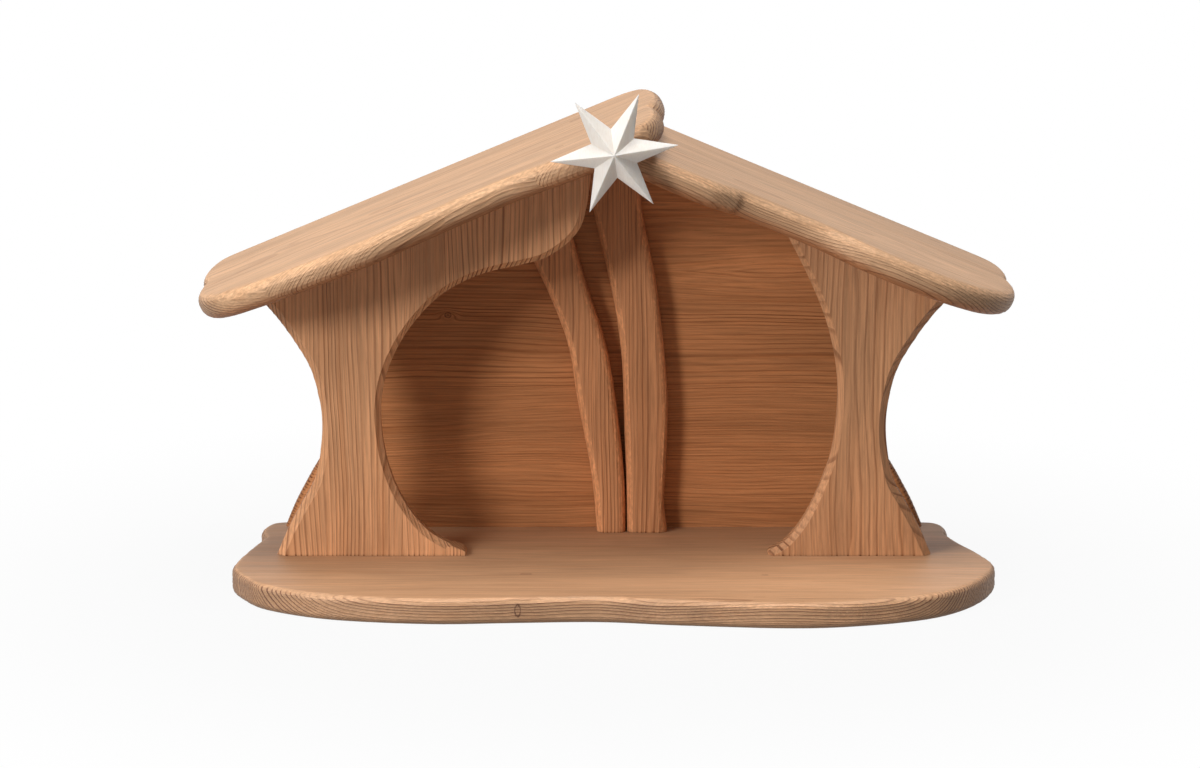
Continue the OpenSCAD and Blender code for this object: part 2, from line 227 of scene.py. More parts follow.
def slope_normal(side):
    """The way out of the top face of one roof slope: -1 is the left one, 1 the right one."""
    node = "roof_board_left" if side < 0 else "roof_board_right"
    normal, _ = max(face_areas(node), key=lambda pair: pair[1])
    return normal if normal.z > 0 else -normal


@functools.cache
def face_areas(node):
    """The direction and the total area of a CAD node's faces, for each direction."""
    found = {}
    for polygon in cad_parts[node].data.polygons:
        key = tuple(round(c, 3) for c in polygon.normal)
        normal, area = found.get(key, (polygon.normal.copy(), 0))
        found[key] = (normal, area + polygon.area)
    return list(found.values())


# Mesh of a board

def copied(node):
    """A bmesh of a CAD node with its corners joined and its flat faces whole."""
    mesh = bmesh.new()
    mesh.from_mesh(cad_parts[node].data)
    bmesh.ops.remove_doubles(mesh, verts=mesh.verts, dist=WELD)
    bmesh.ops.dissolve_limit(mesh, angle_limit=WHOLE, verts=mesh.verts, edges=mesh.edges,
                             use_dissolve_boundaries=False)
    mesh.normal_update()
    return mesh


def rim_runs(mesh, board, front):
    """The edges between one face of the board and its shaped sides, in connected runs."""
    way = board.face if front else -board.face
    # Not a set, whose order changes each time
    rim = {}
    for edge in mesh.edges:
        caps = [f for f in edge.link_faces if f.normal.dot(way) > FLAT]
        sides = [f for f in edge.link_faces if abs(f.normal.dot(way)) < LEAN]
        if caps and sides and not board.keeps(sides[0]):
            rim[edge] = True
    runs = []
    while rim:
        run = [rim.popitem()[0]]
        for edge in run:
            linked = dict.fromkeys(e for v in edge.verts for e in v.link_edges if e in rim)
            run.extend(linked)
            for other in linked:
                del rim[other]
        if sum(e.calc_length() for e in run) > SHORTEST_RIM:
            runs.append(run)
    return runs


def round_over(mesh, board):
    """Rounds or bevels the rims of a board, each run by the width that the board gives it."""
    steps = 1 if board.bevelled else ROUND_STEPS
    for front in (True, False):
        groups = {}
        for run in rim_runs(mesh, board, front):
            middle = sum((v.co for e in run for v in e.verts), Vector()) / (2 * len(run))
            groups.setdefault(board.rounding(front, middle), []).extend(run)
        for radius, edges in groups.items():
            bmesh.ops.bevel(mesh, geom=edges, offset=radius, offset_type="OFFSET",
                            segments=steps, profile=0.5, affect="EDGES", loop_slide=True,
                            material=-1)
    mesh.normal_update()


def sawn(mesh, faces, direction, places):
    """Cuts the faces by a plane at each place along a direction, always through the middle."""
    if not places or not faces:
        return
    half = len(places) // 2
    place = places[half]
    geometry = dict.fromkeys(v for f in faces for v in f.verts)
    geometry |= dict.fromkeys(e for f in faces for e in f.edges)
    cut = bmesh.ops.bisect_plane(mesh, geom=list(geometry) + faces, dist=SNAP,
                                 plane_co=direction * place, plane_no=direction)
    below, above = [], []
    for item in cut["geom"]:
        if isinstance(item, bmesh.types.BMFace):
            side = below if item.calc_center_median().dot(direction) < place else above
            side.append(item)
    sawn(mesh, below, direction, places[:half])
    sawn(mesh, above, direction, places[half + 1:])


def cut_places(mesh, direction, step, extra=()):
    """Places for cuts at an even step from end to end along a direction, with some extra ones."""
    spread = [v.co.dot(direction) for v in mesh.verts]
    low, high = min(spread), max(spread)
    count = max(1, round((high - low) / step))
    even = [low + (high - low) * (i + 0.5) / count for i in range(count)]
    near = [p for p in extra if low < p < high]
    places = sorted(even + near)
    return [p for i, p in enumerate(places) if i == 0 or p - places[i - 1] > 2 * SNAP]


def knot_places(board):
    """Extra cuts across the grain, close together where a knot bends it."""
    places = []
    for knot in board.knots:
        if knot.bends:
            centre = knot.place.dot(board.along)
            reach = KNOT_CUTS_REACH * knot.half_w
            places += [centre + reach * i / KNOT_CUTS for i in range(-KNOT_CUTS, KNOT_CUTS + 1)]
    return places


def joint_places(board):
    """Places of the glue lines between the staves, along the board's width."""
    low, high = width_ends(board)
    return [low + (high - low) * stave.share for stave in board.staves[1:]]


def width_ends(board):
    """Where a board begins and ends across its grain."""
    corners = [Vector((x, y, z)) for x in (board.low.x, board.high.x)
               for y in (board.low.y, board.high.y) for z in (board.low.z, board.high.z)]
    spread = [c.dot(board.across) for c in corners]
    return min(spread), max(spread)


def smooth_share(values, low, high):
    """0 below low, 1 above high, and a smooth rise between them."""
    share = np.clip((values - low) / (high - low), 0, 1)
    return share * share * (3 - 2 * share)


def waves(place, lengths, draw):
    """A sum of waves with the given lengths, each as high as its length over a full turn."""
    total = np.zeros_like(place)
    for length in lengths:
        stretched = length * draw.uniform(*GROWTH_SPREAD)
        turn = draw.uniform(0, math.tau)
        total += stretched / math.tau * np.sin(math.tau * place / stretched + turn)
    return total


def wander(along, across, depth, seed):
    """How far the grain strays sideways, as a sum of waves."""
    draw = random.Random(seed)
    total = np.zeros_like(along)
    for size, long, wide in WANDER:
        for _ in range(WANDER_COUNT):
            turn = draw.uniform(0, math.tau)
            tilt = draw.uniform(-1, 1)
            run = along / (long * draw.uniform(*WANDER_SPREAD))
            side = (across + tilt * depth) / (wide * draw.uniform(*WANDER_SPREAD))
            total += size * np.sin(math.tau * (run + side * draw.choice((-1, 1))) + turn)
    return total


def log_places(board, points, stave_of):
    """Rings from the tree's middle, place along the grain and place round the tree."""
    offset = points - np.array(board.middle)
    along = offset @ np.array(board.along)
    across = offset @ np.array(board.across)
    depth = offset @ np.array(board.face)
    middles = np.array([(s.across, s.depth, s.ring, s.slope) for s in board.staves])[stave_of]
    da, dd = across - middles[:, 0], depth - middles[:, 1]
    radius = np.hypot(da, dd) + middles[:, 3] * along + wander(along, across, depth, board.seed)
    reach = np.hypot(middles[:, 0], middles[:, 1])
    turn = np.arctan2(da * middles[:, 1] - dd * middles[:, 0],
                      -da * middles[:, 0] - dd * middles[:, 1]) * reach
    growth = waves(radius, GROWTH_WAVES, random.Random(board.seed))
    rings = (radius + UNEVEN_GROWTH * growth) / middles[:, 2]
    for knot in (k for k in board.knots if k.bends):
        away = points - np.array(knot.place)
        deep = away @ np.array(knot.axis)
        away -= np.outer(deep, np.array(knot.axis))
        run = away @ np.array(board.along)
        side = np.sqrt(np.maximum((away ** 2).sum(1) - run ** 2, 0))
        rings += KNOT_RINGS * np.exp(-(run / (KNOT_REACH * knot.half_w)) ** 2
                                     - (side / (KNOT_GIRTH * knot.half_h)) ** 2
                                     - (deep / KNOT_DEPTH) ** 2)
    return rings, along, turn


def late_wood(rings):
    """How far each place lies in the dark late wood of its ring, from 0 to 1."""
    share = rings - np.floor(rings)
    rise = smooth_share(share, LATE_START, LATE_FULL)
    return rise * (1 - smooth_share(share, LATE_END - LATE_FADE, 1))


def finished_board(board, material):
    """Makes a board's piece: rounded, brushed into its rings and marked with its log places."""
    mesh = copied(board.node)
    round_over(mesh, board)
    along_step, across_step, depth_step = board.steps
    for direction, step, extra in ((board.along, along_step, knot_places(board)),
                                   (board.across, across_step, joint_places(board)),
                                   (board.face, depth_step, ())):
        sawn(mesh, mesh.faces[:], direction, cut_places(mesh, direction, step, extra))
    bmesh.ops.triangulate(mesh, faces=[f for f in mesh.faces if len(f.verts) > 4])
    mesh.normal_update()
    for face in mesh.faces:
        face.smooth = True
    for edge in mesh.edges:
        edge.smooth = len(edge.link_faces) == 2 and edge.calc_face_angle(0) < CREASE
    data = bpy.data.meshes.new("brushed_" + board.node)
    mesh.to_mesh(data)
    mesh.free()
    brush(board, data)
    placed(data, board.node, material)


def read(items, name, width, kind=float):
    """What each of a mesh's items holds under this name, as the rows of an array."""
    flat = np.empty(len(items) * width, dtype=kind)
    items.foreach_get(name, flat)
    return flat.reshape(-1, width)


def brush(board, data):
    """Sinks the soft early wood below the hard late wood, and writes what the material reads."""
    points = read(data.vertices, "co", 3)
    normals = read(data.vertices, "normal", 3)
    centres = read(data.polygons, "center", 3)
    corners = read(data.loops, "vertex_index", 1, np.int64).ravel()
    sizes = read(data.polygons, "loop_total", 1, np.int64).ravel()
    across = np.array(board.across)
    limits = np.array(joint_places(board))
    stave_of_face = np.searchsorted(limits, centres @ across)
    stave_of_corner = np.repeat(stave_of_face, sizes)
    stave_of_point = np.zeros(len(points), dtype=np.int64)
    stave_of_point[corners] = stave_of_corner
    rings, along, turn = log_places(board, points[corners], stave_of_corner)
    log = np.column_stack((rings, along, turn))
    facing = normals @ np.array(board.face)
    endness = np.abs(normals @ np.array(board.along))
    # Rounded rims, which the material lightens with a painted highlight
    rounded = smooth_share(facing, *RIM_BEGINS) * (1 - smooth_share(facing, *RIM_ENDS))
    rounded *= 1 - smooth_share(endness, *RIM_TURNS)
    if board.bevelled:
        rounded *= 0
    wood = np.array([(s.tone, s.contrast) for s in board.staves])[stave_of_corner]
    flat = smooth_share(np.abs(facing[corners]), *FACE_LINES)
    contrast = wood[:, 1] * flat + board.edge_contrast * (1 - flat)
    marks = np.column_stack((wood[:, 0], endness[corners], rounded[corners]))
    signs = np.column_stack((contrast, facing[corners], stave_of_corner))
    for name, values in (("log", log), ("board", marks), ("stave", signs)):
        attribute = data.attributes.new(name, "FLOAT_VECTOR", "CORNER")
        attribute.data.foreach_set("vector", values.astype(np.float32).ravel())
    point_rings, _, _ = log_places(board, points, stave_of_point)
    edge = 1 - smooth_share(np.abs(facing), *FACE_RELIEF)
    wear = board.relief * (1 - edge) + board.edge_relief * edge
    sink = wear * (1 - late_wood(point_rings))
    for limit in limits:
        on_joint = np.abs(points @ across - limit) < SNAP
        sink = np.maximum(sink, board.relief * JOINT_DEPTH * on_joint)
    points -= normals * sink[:, None]
    data.vertices.foreach_set("co", points.ravel())
    data.update()


def placed(data, node, material, body="root"):
    """Puts a finished mesh in the scene in place of its CAD node."""
    piece = bpy.data.objects.new(data.name, data)
    bpy.context.scene.collection.objects.link(piece)
    data.materials.clear()
    data.materials.append(material)
    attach(piece, body)
    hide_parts(node)


# Materials

# How many of a material's nodes stand in a row, and the room for each
NODES_IN_ROW = 8
NODE_W = 240
NODE_H = 180
# How often each pattern of the wood changes: in a ring, in a metre round the tree and in a metre
# along the grain, with its detail and its roughness
FIBRE = ((2.6, 1000.0, 34.0), 4.0, 0.6)
STREAK = ((0.55, 260.0, 9.0), 3.0, 0.55)
CLOUD = ((0.06, 60.0, 5.0), 2.0, 0.55)
PORES = ((9.0, 3200.0, 260.0), 2.0, 0.55)
# HIGHLIGHT_DASHES breaks up the painted highlight on the rounded rims
HIGHLIGHT_DASHES = ((1.1, 900.0, 420.0), 2.0, 0.55)
# The same for clear and faint years, in a ring and along the grain, and the years from one stave's
# chances to the next one's
YEARS_RING = 0.16
YEARS_RUN = 2.5
STAVE_SEED = 370.0
# By chance a year's late wood starts anywhere in LUCK_START, which opens LUCK_BEFORE ahead of its
# usual start, and is up to LUCK_STRENGTH above LEAST_STRENGTH
LUCK_START = 0.22
LUCK_BEFORE = 0.08
LUCK_STRENGTH = 0.5
LEAST_STRENGTH = 0.6
# Each of these is a range, and what something grows from and to over it; those for end grain take
# their range from END_GRAIN. First, how clear late wood is: by streak, by year, from a face to
# its rounded rim, and on end grain
STREAK_CLEAR = (0.2, 0.8, 0.5, 1.5)
YEAR_CLEAR = (0.3, 0.7, 0.5, 1.4)
RIM_CLEAR = (0.0, 1.0, 1.0, 0.4)
END_CLEAR = (1.0, 2.2)
# Then how much of the warm colour a streak has, and how bright the wood is: by fibre, by cloud,
# by the stave's tone, on end grain, by a painted highlight on rounded rims, and in its pores
WARM_STREAK = (0.45, 0.75, 0.0, 0.5)
FIBRE_LIGHT = (0.25, 0.75, 0.78, 1.2)
CLOUD_LIGHT = (0.3, 0.7, 0.88, 1.1)
TONE_LIGHT = (0.0, 1.0, 0.72, 1.26)
END_LIGHT = (1.0, 1.0, 0.72)
RIM_HIGHLIGHT = (0.35, 0.75, 0.06, 0.4)
PORE_LIGHT = (0.62, 0.78, 1.0, 0.8)
# And last, how much painted shade a side takes on as it turns away from the face
UNDERSIDE = (-0.7, 0.15, 1.0, 0.0)
PAINTED_UNDER_SHADE = (0.72, 0.72, 0.72)
ROOF_PAINTED_UNDER_SHADE = (0.7, 0.52, 0.42)
# Slants to the grain from which a side begins to look like end grain, and does so in full
END_GRAIN = (0.3, 0.8)
ROOF_END_GRAIN = (0.6, 0.95)
# A knot's dark rim rises and falls, and its heart fades to its edge, over these shares of its
# half width, and its outline strays by up to KNOT_WOBBLE of it
KNOT_RIM_IN = (0.85, 1.1)
KNOT_RIM_OUT = (1.1, 1.5)
KNOT_CORE = (0.3, 1.1)
KNOT_CORE_EDGE = 0.1
KNOT_WOBBLE = 0.5
# Share of light that the wax mirrors, on the scale of the shader's specular level
BASE_GLOSS = 0.45
PANEL_GLOSS = 0.22
WALL_GLOSS = 0.1
POST_GLOSS = 0.15
ROOF_GLOSS = 0.22
# What fibre or grain adds to the roughness, and the least roughness
WOOD_ROUGHNESS = (0.2, 0.42)
STAR_ROUGHNESS = (0.15, 0.55)
# What handling marks add to a metal's roughness
MARKS_ROUGHNESS = 0.2
PIN_ROUGHNESS = 0.28
SCREW_ROUGHNESS = 0.32
# Height of late wood, fibre and pores in the bump, its depth and its strength
LATE_BUMP = 1.3
FIBRE_BUMP = 1.2
PORE_BUMP = -0.3
WOOD_BUMP = (0.00012, 0.8)


class Finish:
    """A material, with its nodes added one at a time from what they read to the shader."""

    def __init__(self, name, **sockets):
        self.material = bpy.data.materials.new(name)
        self.material.use_nodes = True
        self.tree = self.material.node_tree
        self.shader = next(n for n in self.tree.nodes if n.type == "BSDF_PRINCIPLED")
        for socket, value in sockets.items():
            self.shader.inputs[socket.replace("_", " ")].default_value = value
        self.count = 0

    def add(self, kind, inputs=(), **settings):
        """A node with its settings; an input is a value or another node's output."""
        node = self.tree.nodes.new("ShaderNode" + kind)
        self.count += 1
        row, column = divmod(self.count, NODES_IN_ROW)
        node.location = (-NODE_W * (NODES_IN_ROW - column), -NODE_H * row)
        for name, value in settings.items():
            setattr(node, name, value)
        for key, value in dict(inputs).items():
            self.feed(node.inputs[key], value)
        return node

    def feed(self, socket, value):
        """Links another node's output to a socket, or sets the socket's own value."""
        if isinstance(value, bpy.types.NodeSocket):
            self.tree.links.new(value, socket)
        else:
            socket.default_value = value

    def math(self, operation, *values, clamp=False):
        node = self.add("Math", enumerate(values), operation=operation, use_clamp=clamp)
        return node.outputs[0]

    def ramp(self, value, low, high, to_low=0.0, to_high=1.0):
        """A smooth change from to_low at low to to_high at high."""
        node = self.add("MapRange", {0: value, 1: low, 2: high, 3: to_low, 4: to_high},
                        interpolation_type="SMOOTHSTEP")
        return node.outputs[0]

    def noise(self, vector, detail, roughness=0.55, scale=1.0):
        node = self.add("TexNoise", {"Vector": vector, "Scale": scale, "Detail": detail,
                                     "Roughness": roughness})
        return node.outputs[0]

    def blend(self, factor, one, other, mode="MIX"):
        node = self.add("Mix", data_type="RGBA", blend_type=mode)
        self.feed(node.inputs[0], factor)
        self.feed(node.inputs[6], one)
        self.feed(node.inputs[7], other)
        return node.outputs[2]

    def attribute(self, name):
        node = self.add("Attribute", attribute_name=name)
        split = self.add("SeparateXYZ", {0: node.outputs["Vector"]})
        return split.outputs[0], split.outputs[1], split.outputs[2]

    def vector(self, x, y, z):
        return self.add("CombineXYZ", {0: x, 1: y, 2: z}).outputs[0]

    def pattern(self, places, scales, detail, roughness):
        """Noise that changes at its own rate with each of three places in the log."""
        stretched = [self.math("MULTIPLY", place, scale) for place, scale in zip(places, scales)]
        return self.noise(self.vector(*stretched), detail, roughness)

    def place(self, scale, location=(0, 0, 0)):
        """The piece's own place, scaled and then moved."""
        own = self.add("TexCoord").outputs["Object"]
        node = self.add("Mapping", {"Vector": own, "Location": location, "Scale": scale})
        return node.outputs[0]

    def finish(self, colour, roughness, height, depth, strength):
        """Joins colour, roughness and bump to the shader, and returns the material."""
        self.feed(self.shader.inputs["Base Color"], colour)
        self.feed(self.shader.inputs["Roughness"], roughness)
        bump = self.add("Bump", {"Strength": strength, "Distance": depth, "Height": height})
        self.feed(self.shader.inputs["Normal"], bump.outputs[0])
        return self.material


def opaque(colour):
    return (*colour, 1.0)


def larch(name, wood, tint, gloss, knots=(), under=PAINTED_UNDER_SHADE, end_grain=END_GRAIN):
    """Brushed and waxed larch that follows the log places written on its board."""
    finish = Finish(name, Specular_IOR_Level=gloss)
    rings, along, turn = finish.attribute("log")
    tone, endness, rounded = finish.attribute("board")
    contrast, facing, stave = finish.attribute("stave")
    fibre, streak, cloud, pores, highlight_dashes = (
        finish.pattern((rings, turn, along), *pattern)
        for pattern in (FIBRE, STREAK, CLOUD, PORES, HIGHLIGHT_DASHES))

    share = finish.math("FRACT", rings)
    seed = finish.math("MULTIPLY_ADD", stave, STAVE_SEED, finish.math("FLOOR", rings))
    luck = finish.add("TexWhiteNoise", {"W": seed}, noise_dimensions="1D").outputs[0]
    start = finish.math("MULTIPLY_ADD", luck, LUCK_START, LATE_START - LUCK_BEFORE)
    late = finish.ramp(share, start, LATE_FULL)
    late = finish.math("MULTIPLY", late,
                       finish.ramp(share, LATE_END - LATE_FADE, 1.0, 1.0, 0.0))
    late = finish.math("MULTIPLY", late,
                       finish.math("MULTIPLY_ADD", luck, LUCK_STRENGTH, LEAST_STRENGTH))
    years = finish.noise(finish.vector(finish.math("MULTIPLY", rings, YEARS_RING), stave,
                                       finish.math("MULTIPLY", along, YEARS_RUN)), detail=1.0)
    clear = contrast
    for factor in (finish.ramp(streak, *STREAK_CLEAR), finish.ramp(years, *YEAR_CLEAR),
                   finish.ramp(rounded, *RIM_CLEAR), finish.ramp(endness, *end_grain, *END_CLEAR)):
        clear = finish.math("MULTIPLY", clear, factor)
    late = finish.math("MULTIPLY", late, clear, clamp=True)

    colour = finish.blend(late, opaque(wood.early), opaque(wood.late))
    colour = finish.blend(finish.ramp(streak, *WARM_STREAK), colour, opaque(wood.warm))
    light = finish.ramp(fibre, *FIBRE_LIGHT)
    # Painted highlight: the rounded rims are lightened in a broken pattern
    bright = finish.math("MULTIPLY", rounded, finish.ramp(highlight_dashes, *RIM_HIGHLIGHT))
    for factor in (finish.ramp(cloud, *CLOUD_LIGHT), finish.ramp(tone, *TONE_LIGHT),
                   finish.ramp(endness, end_grain[0], *END_LIGHT),
                   finish.math("ADD", bright, 1.0), finish.ramp(pores, *PORE_LIGHT)):
        light = finish.math("MULTIPLY", light, factor)
    colour = finish.blend(1.0, colour, finish.vector(light, light, light), "MULTIPLY")
    colour = finish.blend(1.0, colour, opaque(tint), "MULTIPLY")
    # Painted shade: sides turned away from the board's face, such as undersides and backs, are
    # darkened
    colour = finish.blend(finish.ramp(facing, *UNDERSIDE), colour, opaque(under), "MULTIPLY")
    for knot in knots:
        colour = knotted(finish, colour, knot, wood)
    roughness = finish.math("MULTIPLY_ADD", fibre, *WOOD_ROUGHNESS)
    height = finish.math("MULTIPLY_ADD", late, LATE_BUMP,
                         finish.math("MULTIPLY", fibre, FIBRE_BUMP))
    height = finish.math("MULTIPLY_ADD", pores, PORE_BUMP, height)
    return finish.finish(colour, roughness, height, *WOOD_BUMP)


def knotted(finish, colour, knot, wood):
    """The dark oval of a knot over the wood's colour."""
    sizes = [knot.half_w, knot.half_w, knot.half_h]
    if abs(knot.axis.z) > FLAT:
        sizes = [knot.half_w, knot.half_h, knot.half_h]
    scale = [0 if abs(knot.axis[i]) > FLAT else 1 / sizes[i] for i in range(3)]
    location = [-knot.place[i] * scale[i] for i in range(3)]
    spot = finish.place(scale, location)
    wobble = finish.noise(spot, detail=2.0, scale=1.7)
    away = finish.add("VectorMath", {0: spot}, operation="LENGTH").outputs["Value"]
    away = finish.math("MULTIPLY_ADD", wobble, KNOT_WOBBLE, away)
    rim = finish.math("MULTIPLY", finish.ramp(away, *KNOT_RIM_IN),
                      finish.ramp(away, *KNOT_RIM_OUT, 1.0, 0.0))
    core = finish.ramp(away, *KNOT_CORE, knot.heart, KNOT_CORE_EDGE)
    dark = finish.math("MAXIMUM", rim, core)
    return finish.blend(finish.math("MULTIPLY", dark, knot.dark), colour, opaque(wood.knot))


def bleached_wood(name, star):
    """Pale, fine-grained wood of the star."""
    finish = Finish(name, Specular_IOR_Level=0.25, Subsurface_Weight=0.6,
                    Subsurface_Radius=(1.0, 0.9, 0.8), Subsurface_Scale=0.004)
    grain = finish.noise(finish.place(scale=(1800, 900, 120)), detail=4.0, roughness=0.6)
    cloud = finish.noise(finish.place(scale=(90, 90, 90)), detail=2.0)
    colour = finish.blend(finish.ramp(grain, 0.35, 0.75), opaque(star.pale), opaque(star.shade))
    light = finish.ramp(cloud, 0.3, 0.7, to_low=0.95, to_high=1.02)
    colour = finish.blend(1.0, colour, finish.vector(light, light, light), "MULTIPLY")
    roughness = finish.math("MULTIPLY_ADD", grain, *STAR_ROUGHNESS)
    return finish.finish(colour, roughness, grain, depth=0.00008, strength=0.5)


def metal(name, colour, dull, roughness):
    """Turned metal with faint marks from handling."""
    finish = Finish(name, Metallic=1.0)
    marks = finish.noise(finish.place(scale=(1500, 1500, 6000)), detail=4.0)
    stain = finish.noise(finish.place(scale=(400, 400, 400)), detail=3.0)
    tint = finish.blend(finish.ramp(stain, 0.4, 0.7), opaque(colour), opaque(dull))
    rough = finish.math("MULTIPLY_ADD", marks, MARKS_ROUGHNESS, roughness)
    return finish.finish(tint, rough, marks, depth=0.00003, strength=0.4)


def dowel_wood(name, fittings):
    """Plain beech of the dowels, with its small dark flecks."""
    finish = Finish(name)
    grain = finish.noise(finish.place(scale=(900, 900, 160)), detail=3.0)
    flecks = finish.noise(finish.place(scale=(2500, 2500, 700)), detail=2.0)
    mixed = finish.blend(finish.ramp(grain, 0.35, 0.7), opaque(fittings.beech),
                         opaque(fittings.beech_dark))
    dark = finish.ramp(flecks, 0.6, 0.72, to_high=0.6)
    colour = finish.blend(dark, mixed, opaque(fittings.beech_dark))
    roughness = finish.ramp(grain, 0.0, 1.0, to_low=0.5, to_high=0.7)
    return finish.finish(colour, roughness, grain, depth=0.00005, strength=0.5)


def recoat(node, material):
    """Gives a CAD node its material."""
    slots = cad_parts[node].data.materials
    slots.clear()
    slots.append(material)


# Settings

def colour_setting(name, description, default, most=1.0):
    return FloatVectorProperty(name=name, description=description, subtype="COLOR", size=3,
                               min=0, max=most, default=default)


def length_setting(name, description, default):
    return FloatProperty(name=name, description=description, unit="LENGTH", min=0,
                         default=default)


def power_setting(name, description, default):
    return FloatProperty(name=name, description=description, unit="POWER", min=0,
                         default=default)


class WoodSettings(PropertyGroup):
    """Colours of the waxed larch, and how far its edges are rounded and its rings brushed."""
    early: colour_setting("Early wood", "Soft, pale part of each ring", (0.6, 0.325, 0.17))
    late: colour_setting("Late wood", "Hard, dark part of each ring", (0.18, 0.066, 0.026))
    warm: colour_setting("Warm streaks", "Redder streaks along the grain", (0.5, 0.24, 0.11))
    # Each tint is partly the wood's own colour and partly painted light: the darker, redder wall
    # and post tints are painted shade of the stable's inside, and the paler base and roof tints are
    # painted light on their lit tops
    base_tint: colour_setting("Base tint", "Tint over the base board's wood",
                               (1.22, 1.29, 1.33), 2.0)
    panel_tint: colour_setting("Panel tint", "Tint over the panels' wood",
                               (1.24, 1.15, 1.08), 2.0)
    wall_tint: colour_setting("Wall tint", "Tint over the back wall's wood",
                               (1.06, 0.82, 0.62), 2.0)
    post_tint: colour_setting("Post tint", "Tint over the posts' wood",
                               (1.03, 0.85, 0.73), 2.0)
    roof_tint: colour_setting("Roof tint", "Tint over the roof boards' wood",
                               (1.08, 1.2, 1.3), 2.0)
    knot: colour_setting("Knots", "Heart of a knot", (0.12, 0.045, 0.02))
    base_round: length_setting("Base rounding", "Radius of the base board's edges", 0.003)
    outer_round: length_setting("Outer bevel", "Width of the bevel on the waisted sides", 0.0034)
    arch_round: length_setting("Opening bevel", "Width of the bevel round the open front", 0.0028)
    post_round: length_setting("Post rounding", "Radius of the posts' edges", 0.0042)
    roof_round: length_setting("Roof rounding", "Radius of the roof boards' edges", 0.0052)
    relief: length_setting("Brushed relief", "Depth brushed out of the early wood", 0.0001)
    edge_relief: length_setting("Edge relief", "Depth brushed out along the soft edges", 0.00015)


class StarSettings(PropertyGroup):
    """Colours of the star, and how far its edges are softened."""
    pale: colour_setting("Pale wood", "Bleached wood", (0.9, 0.84, 0.775))
    shade: colour_setting("Grain", "Faint grain of the bleached wood", (0.86, 0.785, 0.71))
    soften: length_setting("Softening", "Radius of the ridges and the rim", 0.00035)


class FittingSettings(PropertyGroup):
    """Colours of the pin, the screws and the dowels."""
    steel: colour_setting("Steel", "Bright steel of the pin", (0.62, 0.61, 0.59))
    steel_dull: colour_setting("Dull steel", "Handled places", (0.45, 0.44, 0.42))
    brass: colour_setting("Screws", "Yellow coating of the screws", (0.8, 0.6, 0.28))
    brass_dull: colour_setting("Worn screws", "Places where the coating is thin", (0.5, 0.4, 0.25))
    beech: colour_setting("Beech", "Wood of the dowels", (0.6, 0.42, 0.26))
    beech_dark: colour_setting("Beech grain", "Flecks of the dowels' wood", (0.4, 0.25, 0.14))


class StageSettings(PropertyGroup):
    """Camera, lamps and floor."""
    camera_away: length_setting("Camera distance", "From the front, on the level", 1.991)
    camera_up: length_setting("Camera height", "Above the floor", 0.5002)
    camera_dip: FloatProperty(name="Camera pitch", description="Angle below the level",
                              subtype="ANGLE", default=math.radians(11.5))
    lens_px: FloatProperty(name="Focal length", description="In pixels of the picture",
                           default=4444)
    middle_px: FloatProperty(name="Ridge column", description="Pixel column of the ridge",
                             default=604)
    key: power_setting("Key lamp", "Large lamp at the front left", 14)
    side: power_setting("Side lamp", "Lamp at the left", 8.3)
    fill: power_setting("Fill lamp", "Lamp at the right", 1.5)
    top: power_setting("Top lamp", "Lamp overhead", 25)
    ambient: FloatProperty(name="Room light", description="Strength of the light all round",
                           default=0.12)
    floor: colour_setting("Floor", "Pale floor", (0.3, 0.3, 0.3))


class StableSettings(PropertyGroup):
    """Everything that a user would change."""
    wood: PointerProperty(type=WoodSettings)
    star: PointerProperty(type=StarSettings)
    fittings: PointerProperty(type=FittingSettings)
    stage: PointerProperty(type=StageSettings)


# Operators

class STABLE_OT_base_board(Operator):
    """Finish the base board, with level rings that show in layers on its front edge"""
    bl_idname = "stable.base_board"
    bl_label = "Base Board"

    def execute(self, context):
        wood = context.scene.stable.wood
        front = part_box("base_board")[0].y
        knots = [Knot((-0.0385, front, 0.0063), Y, 0.0014, 0.003, heart=0.3),
                 Knot((-0.0355, -0.0254, 0.012), Z, 0.0026, 0.0014, dark=0.6, bends=False),
                 Knot((0.0732, -0.0272, 0.012), Z, 0.0016, 0.0009, dark=0.6, bends=False),
                 Knot((0.0696, -0.0679, 0.012), Z, 0.0026, 0.0004, dark=0.5, bends=False)]
        board = Board("base_board", X, Z, [Stave(0, -0.075, 0.017, 0.0014, 0.52, 0.35)],
                      lambda is_front, middle: wood.base_round, relief=0, steps=BASE_STEPS,
                      seed=11, knots=knots, edge_contrast=BASE_EDGE_CONTRAST,
                      edge_relief=wood.edge_relief)
        material = larch("base_larch", wood, wood.base_tint, BASE_GLOSS, knots)
        finished_board(board, material)
        return {"FINISHED"}


class STABLE_OT_front_panels(Operator):
    """Finish the two front panels, with upright grain and bevelled edges"""
    bl_idname = "stable.front_panels"
    bl_label = "Front Panels"

    def execute(self, context):
        wood = context.scene.stable.wood

        def rounding(is_front, middle):
            outer = abs(middle.x) > WAIST_FROM
            return wood.outer_round if outer or not is_front else wood.arch_round

        material = larch("panel_larch", wood, wood.panel_tint, PANEL_GLOSS)
        left = [Stave(0, 0.14, 0.09, 0.0023, 0.52, 0.65),
                Stave(0.44, 0.11, 0.1, 0.0018, 0.53, 0.3),
                Stave(0.57, -0.12, 0.07, 0.0022, 0.49, 0.6)]
        right = [Stave(0, 0.06, -0.16, 0.0021, 0.24, 0.38),
                 Stave(0.55, -0.1, -0.12, 0.0024, 0.17, 0.38)]
        for node, staves, seed in (("front_left_panel", left, 23),
                                   ("front_right_panel", right, 31)):
            board = Board(node, Z, -Y, staves, rounding, wood.relief, PANEL_STEPS, seed,
                          bevelled=True)
            finished_board(board, material)
        return {"FINISHED"}


